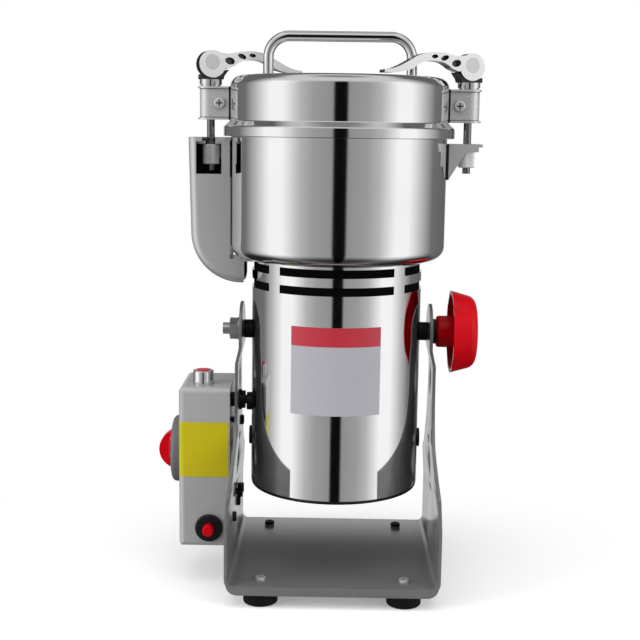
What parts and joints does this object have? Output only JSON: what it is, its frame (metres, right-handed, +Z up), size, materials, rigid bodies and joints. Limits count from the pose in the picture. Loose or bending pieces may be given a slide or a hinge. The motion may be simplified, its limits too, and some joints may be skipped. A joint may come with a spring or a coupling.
{
  "type": "electric grain mill",
  "caption": "Bench grain mill: a steel bowl with a cam-latched lid on a motor can that tips between the arms of a sheet stand, with timer, power and reset controls.",
  "frame": {"origin": "on the table, under the middle of the whole part's width and depth", "axes": "+Z up, -Y the front, +X towards the clamp knob"},
  "size_m": [0.2182, 0.1546, 0.3745],
  "materials": {
    "stand_paint": "satin silver-grey paint",
    "black_rubber": "matt",
    "zinc": "zinc plated",
    "box_paint": "satin grey paint",
    "black_plastic": "fine matt",
    "dial_grey": "satin",
    "red_plastic": "gloss",
    "chrome": "bright chrome",
    "polished_steel": "mirror polished",
    "cast_aluminium": "as cast",
    "lamination": "dull",
    "copper": "enamelled",
    "brass": "plain",
    "carbon": "matt",
    "cover_grey": "satin",
    "blade_steel": "ground",
    "shaft_steel": "ground",
    "fan_plastic": "natural",
    "silicone": "translucent white",
    "lever_steel": "polished casting"
  },
  "bodies": {
    "base": {"base_frame": "stand_paint", "rubber_feet": "black_rubber", "frame_screws": "zinc", "control_box": "box_paint", "control_box_back": "zinc", "timer_body": "fan_plastic", "timer_dial": "dial_grey", "breaker_body": "black_plastic", "button_collar": "chrome", "arm_glands": "black_plastic", "motor_lead": "black_rubber"},
    "timer_knob": {"timer_knob": "red_plastic"},
    "reset_button": {"reset_button": "red_plastic"},
    "power_button": {"power_button": "red_plastic"},
    "head": {"motor_housing": "polished_steel", "housing_base": "black_plastic", "case_screws": "zinc", "motor_carrier": "cast_aluminium", "stator_core": "lamination", "field_windings": "copper", "bearings": "shaft_steel", "bearing_plate": "cast_aluminium", "shaft_seal": "black_rubber", "brush_holders": "brass", "carbon_brushes": "carbon", "brush_caps": "black_plastic", "pivot_spacers": "zinc", "pivot_stud": "zinc", "pivot_nut": "zinc", "bowl": "polished_steel", "bowl_ears": "zinc", "interlock_cover": "cover_grey", "microswitch": "black_plastic", "housing_gland": "black_plastic"},
    "clamp_washer": {"clamp_washer": "zinc"},
    "clamp_knob": {"clamp_knob": "red_plastic", "clamp_stud": "zinc"},
    "rotor": {"motor_shaft": "shaft_steel", "armature": "lamination", "commutator": "copper", "cooling_fan": "fan_plastic", "lower_blade": "blade_steel", "blade_spacer": "shaft_steel", "upper_blade": "blade_steel", "blade_nut": "shaft_steel"},
    "lid": {"lid": "polished_steel", "lid_seal": "silicone", "lid_handle": "chrome", "handle_nuts": "zinc", "latch_brackets": "zinc", "bracket_screws": "zinc"},
    "seat_right": {"cam_seat_right": "black_plastic"},
    "rod_right": {"latch_rod_right": "chrome", "knurled_nut_right": "zinc"},
    "lever_right": {"cam_lever_right": "lever_steel"},
    "seat_left": {"cam_seat_left": "black_plastic"},
    "rod_left": {"latch_rod_left": "chrome", "knurled_nut_left": "zinc"},
    "lever_left": {"cam_lever_left": "lever_steel"}
  },
  "joints": [
    {"name": "head_tilt", "type": "hinge", "parent": "base", "child": "head", "pos_m": [0.01275, 0, 0.174], "axis": [1, 0, 0], "range_deg": [-90, 90], "deforming": ["motor_lead"]},
    {"name": "clamp_slide", "type": "slide", "parent": "head", "child": "clamp_washer", "axis": [1, 0, 0], "range_m": [0, 0.0025]},
    {"name": "clamp_turn", "type": "hinge", "parent": "clamp_washer", "child": "clamp_knob", "pos_m": [0.09275, 0, 0.174], "axis": [1, 0, 0], "range_deg": [0, 720]},
    {"name": "rotor_spin", "type": "hinge", "parent": "head", "child": "rotor", "pos_m": [0.01275, 0, 0.2], "axis": [0, 0, 1], "continuous": true},
    {"name": "lid_twist", "type": "hinge", "parent": "head", "child": "lid", "pos_m": [0.01275, 0, 0.32], "axis": [0, 0, 1], "range_deg": [0, 25]},
    {"name": "timer_turn", "type": "hinge", "parent": "base", "child": "timer_knob", "pos_m": [-0.09925, 0, 0.0884], "axis": [1, 0, 0], "range_deg": [0, 300]},
    {"name": "reset_press", "type": "slide", "parent": "base", "child": "reset_button", "axis": [0, 1, 0], "range_m": [0, 0.002], "stiffness_N_per_m": 300},
    {"name": "power_press", "type": "slide", "parent": "base", "child": "power_button", "axis": [0, 0, -1], "range_m": [0, 0.002], "stiffness_N_per_m": 300},
    {"name": "seat_swivel_right", "type": "hinge", "parent": "lid", "child": "seat_right", "pos_m": [0.09875, 0, 0.34], "axis": [0, 0, 1], "range_deg": [-6, 60]},
    {"name": "rod_lift_right", "type": "slide", "parent": "seat_right", "child": "rod_right", "axis": [0, 0, -1], "range_m": [0, 0.001]},
    {"name": "lever_throw_right", "type": "hinge", "parent": "rod_right", "child": "lever_right", "pos_m": [0.09875, 0, 0.3532], "axis": [-0.342, 0.9397, 0], "range_deg": [0, 120]},
    {"name": "seat_swivel_left", "type": "hinge", "parent": "lid", "child": "seat_left", "pos_m": [-0.07325, 0, 0.34], "axis": [0, 0, 1], "range_deg": [-6, 60]},
    {"name": "rod_lift_left", "type": "slide", "parent": "seat_left", "child": "rod_left", "axis": [0, 0, -1], "range_m": [0, 0.001]},
    {"name": "lever_throw_left", "type": "hinge", "parent": "rod_left", "child": "lever_left", "pos_m": [-0.07325, 0, 0.3532], "axis": [0.342, -0.9397, 0], "range_deg": [0, 120]}
  ],
  "couplings": [
    {"joint": "clamp_turn", "follows": "clamp_slide", "rad_per_m": 5026.5},
    {"joint": "lever_throw_right", "follows": "rod_lift_right", "rad_per_m": 2094.4},
    {"joint": "lever_throw_left", "follows": "rod_lift_left", "rad_per_m": 2094.4}
  ]
}
